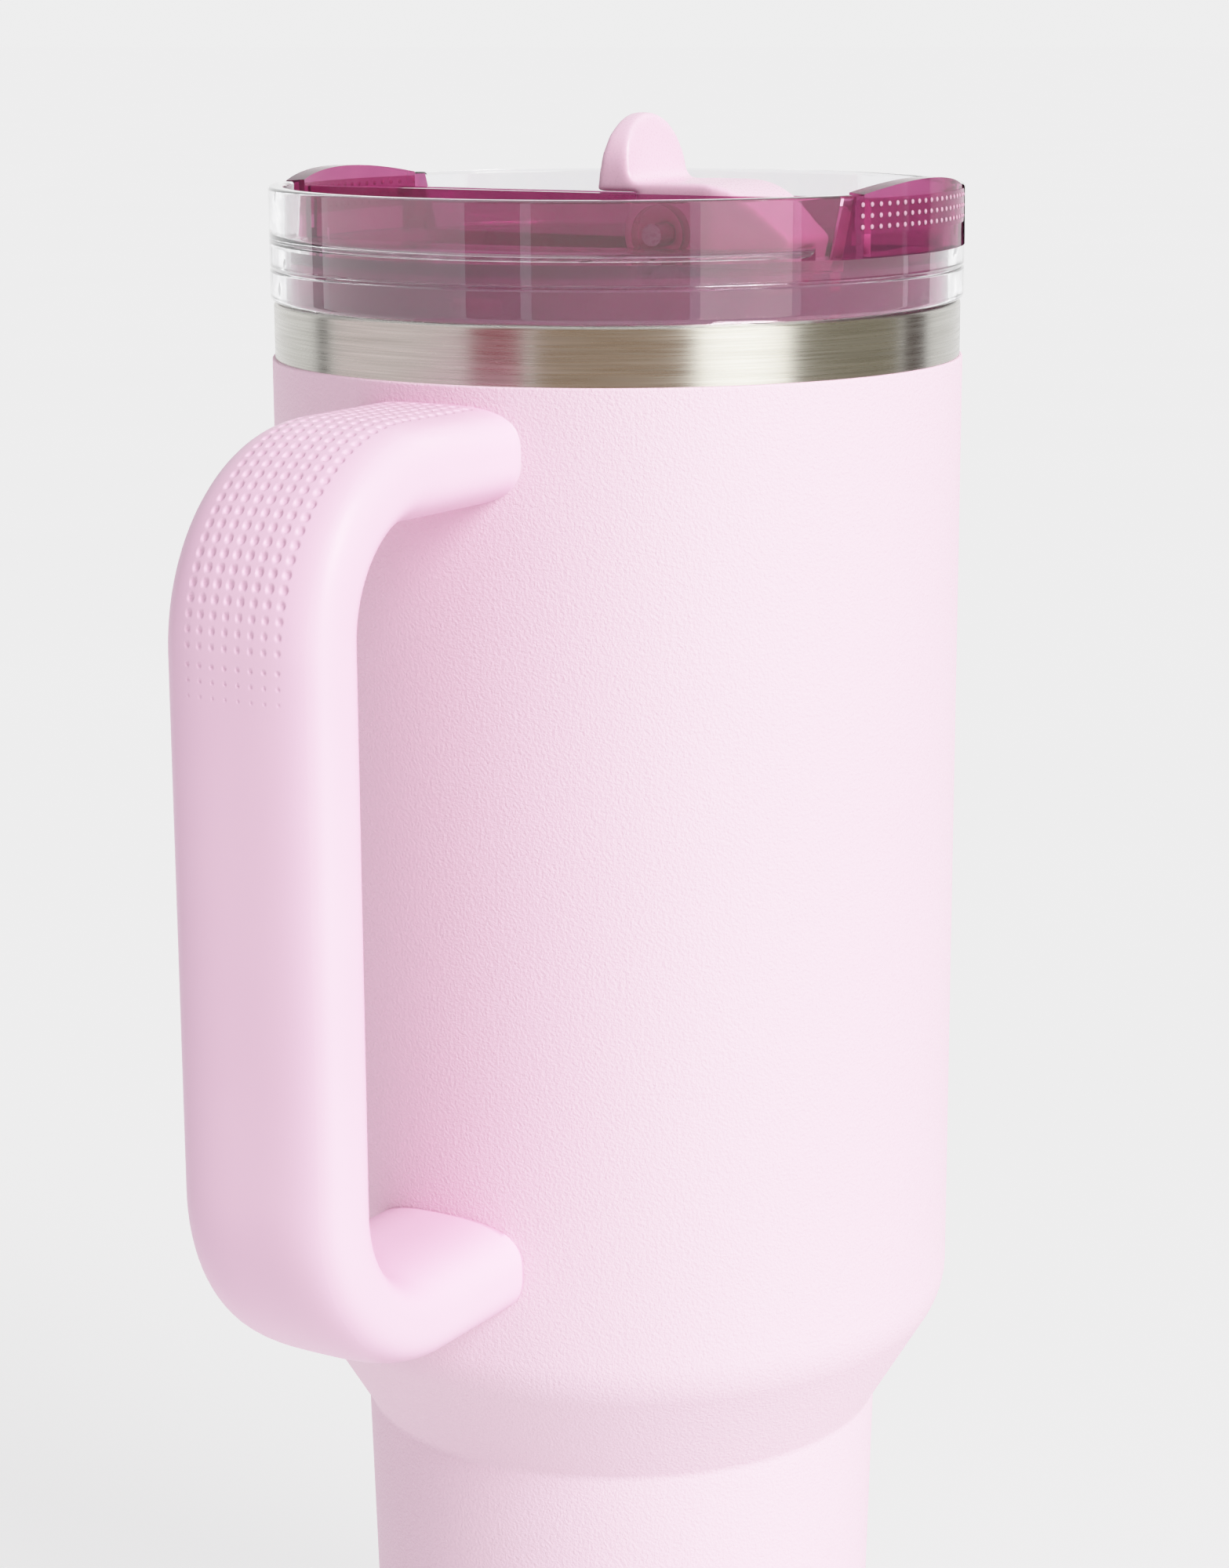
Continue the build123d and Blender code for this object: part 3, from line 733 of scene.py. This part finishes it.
# ------------------------------------------------------------------ floor, world, lights
PHI = math.radians(30.55)
RIGHT = Vector((-math.sin(PHI), math.cos(PHI), 0))
AWAY = Vector((-math.cos(PHI), -math.sin(PHI), 0))


def grey(value):
    return (value, value, value, 1)


def studio(angle, distance, height):
    """A place given by its angle to the right of the camera, distance from the axis and height."""
    a = math.radians(angle)
    return RIGHT * (math.sin(a) * distance) - AWAY * (math.cos(a) * distance) + UP * height


def pale_floor(half=30, drop=0.0002):
    floor = mesh_object("floor", [(-half, -half, 0), (half, -half, 0), (half, half, 0),
                                  (-half, half, 0)], [(0, 1, 2, 3)])
    mat, tree, shader = material("floor", grey(0.2), 0.9, Specular_IOR_Level=0.0,
                                 Emission_Color=grey(1), Emission_Strength=0.835)
    vary(tree, shader, noise(tree, scale=4), grey(0.195), grey(0.205))
    give(floor, mat)
    floor.location.z = -drop


def studio_world(fill, backdrop):
    """One colour lights diffuse surfaces; the other is seen directly, mirrored or refracted."""
    world = bpy.data.worlds.new("studio")
    scene.world = world
    world.use_nodes = True
    tree = world.node_tree
    sky = tree.nodes["Background"]
    sky.inputs["Color"].default_value = fill
    seen = node(tree, "ShaderNodeBackground", Color=backdrop)
    path = node(tree, "ShaderNodeLightPath")
    mix = node(tree, "ShaderNodeMixShader")
    tree.links.new(path.outputs["Is Diffuse Ray"], mix.inputs["Fac"])
    tree.links.new(seen.outputs["Background"], mix.inputs[1])
    tree.links.new(sky.outputs["Background"], mix.inputs[2])
    tree.links.new(mix.outputs["Shader"], tree.nodes["World Output"].inputs["Surface"])


def lamp(name, kind, place, target, **values):
    light = bpy.data.lights.new(name, kind)
    for key, value in values.items():
        setattr(light, key, value)
    obj = bpy.data.objects.new(name, light)
    obj.location = place
    obj.rotation_euler = (Vector(target) - obj.location).to_track_quat("-Z", "Y").to_euler()
    collection.objects.link(obj)
    return obj


def card(name, angle, width, colour, distance=0.45, high=0.8):
    """An upright glowing card, standing on the floor, that only reflections see."""
    centre = studio(angle, distance, 0)
    side = Vector((-centre.y, centre.x, 0)).normalized() * (width / 2)
    obj = mesh_object(name, [
        centre - side, centre + side, centre + side + UP * high, centre - side + UP * high],
        [(0, 1, 2, 3)], False)
    give(obj, material(name, grey(0), 0.9, Specular_IOR_Level=0.0, Emission_Strength=1.0,
                       Emission_Color=(*colour, 1))[0])
    obj.visible_camera = False
    obj.visible_diffuse = False
    obj.visible_shadow = False
    obj.visible_transmission = False


pale_floor()
studio_world(fill=(0.43, 0.41, 0.43, 1), backdrop=grey(1.056))
key_sun = lamp("key_sun", "SUN", studio(46, 1.2, 1.0), (0, 0, 0.14),
               energy=3.4, angle=math.radians(30))
key_sun.visible_glossy = False
softbox = lamp("softbox", "AREA", studio(44, 1.1, 0.95), (0, 0, 0.2),
               shape="RECTANGLE", size=0.5, size_y=0.8, energy=14)
softbox.visible_diffuse = False
softbox.visible_camera = False
card("card_front", -2, 0.40, (0.46, 0.31, 0.21))
card("card_blush", -38, 0.14, (0.42, 0.10, 0.12))
card("card_left", -76, 0.46, (1.04, 0.92, 0.94))
card("card_bright_right", 40, 0.24, (2.2, 2.15, 2.05))
card("card_mid_right", 80, 0.36, (0.34, 0.30, 0.22))
card("card_dark_right", 111, 0.11, (0.13, 0.10, 0.09))
card("card_dark_left", -109, 0.05, (0.10, 0.09, 0.085))

# ------------------------------------------------------------------ camera and tone
TILT, ROLL, YAW = math.radians(12.77), math.radians(0.2585), math.radians(-0.08162)
CAMERA_AWAY, CAMERA_HEIGHT, LENS = 0.4822, 0.27115, 77.4


def to_world(v):
    """Turns (right, away, up) as the camera's azimuth has them into the frame."""
    return RIGHT * v.x + AWAY * v.y + UP * v.z


def photo_camera():
    """A camera in front of the object, tipped down and turned and rolled a little."""
    camera = bpy.data.cameras.new("camera")
    camera.sensor_fit = "VERTICAL"
    camera.sensor_height = 36.0
    camera.lens = LENS
    camera.clip_start = 0.01
    obj = bpy.data.objects.new("camera", camera)
    collection.objects.link(obj)
    scene.camera = obj
    look = Vector((math.sin(YAW) * math.cos(TILT), math.cos(YAW) * math.cos(TILT),
                   -math.sin(TILT)))
    level = Vector((math.cos(YAW), -math.sin(YAW), 0))
    down = look.cross(level)
    across = level * math.cos(ROLL) + down * math.sin(ROLL)
    under = down * math.cos(ROLL) - level * math.sin(ROLL)
    axes = [to_world(across), -to_world(under), -to_world(look)]
    pose = Matrix([[axis[i] for axis in axes] for i in range(3)]).to_4x4()
    pose.translation = to_world(Vector((0, -CAMERA_AWAY, CAMERA_HEIGHT)))
    obj.matrix_world = pose


def tone_curve(points, white):
    """A curve that lifts the middle tones and rolls off towards white."""
    view = scene.view_settings
    view.view_transform = "Standard"
    view.use_curve_mapping = True
    tone = view.curve_mapping
    tone.white_level = (white, white, white)
    combined = tone.curves[3]
    combined.points[1].location = (1.0, 1.0)
    for x, y in points:
        combined.points.new(x, y)
    tone.update()


photo_camera()
tone_curve(((0.23, 0.46), (0.36, 0.67), (0.5, 0.83), (0.68, 0.94)), white=2.0)
